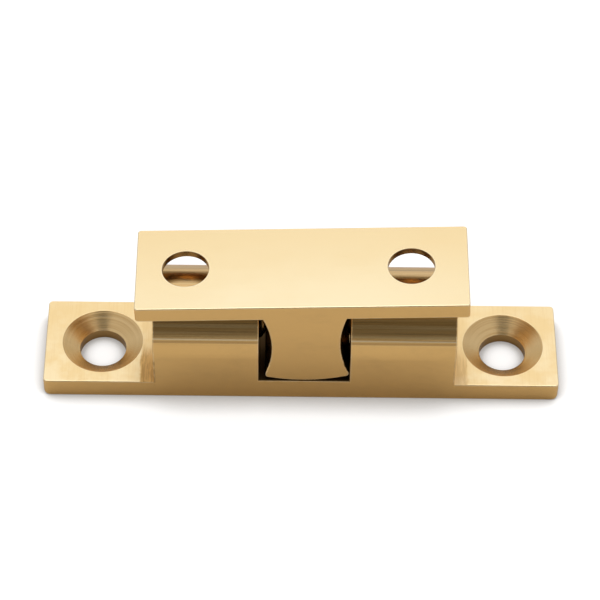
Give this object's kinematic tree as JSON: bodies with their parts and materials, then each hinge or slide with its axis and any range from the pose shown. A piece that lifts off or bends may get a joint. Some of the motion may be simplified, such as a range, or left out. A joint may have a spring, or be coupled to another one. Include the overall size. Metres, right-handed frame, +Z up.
{
  "type": "double ball catch",
  "caption": "Brass double ball catch: a slotted bar housing with two sprung balls that grip the notched tongue of a T-section strike.",
  "frame": {"origin": "middle of the housing's flat base, in the plane that is screwed to the frame", "axes": "+X along the bar, towards the end where the strike sits higher, +Z up out of the base towards the strike, +Y to the back"},
  "size_m": [0.05, 0.0102, 0.0139],
  "materials": {
    "housing_brass": "satin, fine milled",
    "strike_brass": "satin, fine drawn lines",
    "ball_steel": "polished hardened steel",
    "spring_steel": "bright spring wire",
    "adjuster_brass": "turned"
  },
  "bodies": {
    "housing": {"housing": "housing_brass"},
    "strike": {"strike": "strike_brass"},
    "left_ball": {"left_ball": "ball_steel"},
    "right_ball": {"right_ball": "ball_steel"},
    "left_spring": {"left_spring": "spring_steel"},
    "right_spring": {"right_spring": "spring_steel"},
    "left_adjuster": {"left_adjuster": "adjuster_brass"},
    "right_adjuster": {"right_adjuster": "adjuster_brass"}
  },
  "joints": [
    {"name": "strike_pull", "type": "slide", "parent": "housing", "child": "strike", "axis": [0, 0, 1], "range_m": [0, 0.0085]},
    {"name": "left_ball_slide", "type": "slide", "parent": "housing", "child": "left_ball", "axis": [-1, 0, 0], "range_m": [0, 0.0015], "stiffness_N_per_m": 2800, "springref_m": -0.0008, "deforming": ["left_spring"]},
    {"name": "right_ball_slide", "type": "slide", "parent": "housing", "child": "right_ball", "axis": [1, 0, 0], "range_m": [0, 0.002], "stiffness_N_per_m": 2800, "springref_m": -0.0008, "deforming": ["right_spring"]},
    {"name": "left_adjuster_advance", "type": "slide", "parent": "housing", "child": "left_spring", "axis": [1, 0, 0], "range_m": [-0.0005, 0.0005]},
    {"name": "left_adjuster_turn", "type": "hinge", "parent": "left_spring", "child": "left_adjuster", "pos_m": [-0.0138, 0, 0.00577], "axis": [1, 0, 0], "range_deg": [-241, 241]},
    {"name": "right_adjuster_advance", "type": "slide", "parent": "housing", "child": "right_spring", "axis": [-1, 0, 0], "range_m": [-0.0005, 0.0005]},
    {"name": "right_adjuster_turn", "type": "hinge", "parent": "right_spring", "child": "right_adjuster", "pos_m": [0.01435, 0, 0.00577], "axis": [-1, 0, 0], "range_deg": [-241, 241]}
  ],
  "couplings": [
    {"joint": "left_ball_slide", "follows": "strike_pull", "ratio": 0.17},
    {"joint": "right_ball_slide", "follows": "strike_pull", "ratio": 0.23},
    {"joint": "left_adjuster_turn", "follows": "left_adjuster_advance", "rad_per_m": 8377.6},
    {"joint": "right_adjuster_turn", "follows": "right_adjuster_advance", "rad_per_m": 8377.6}
  ]
}
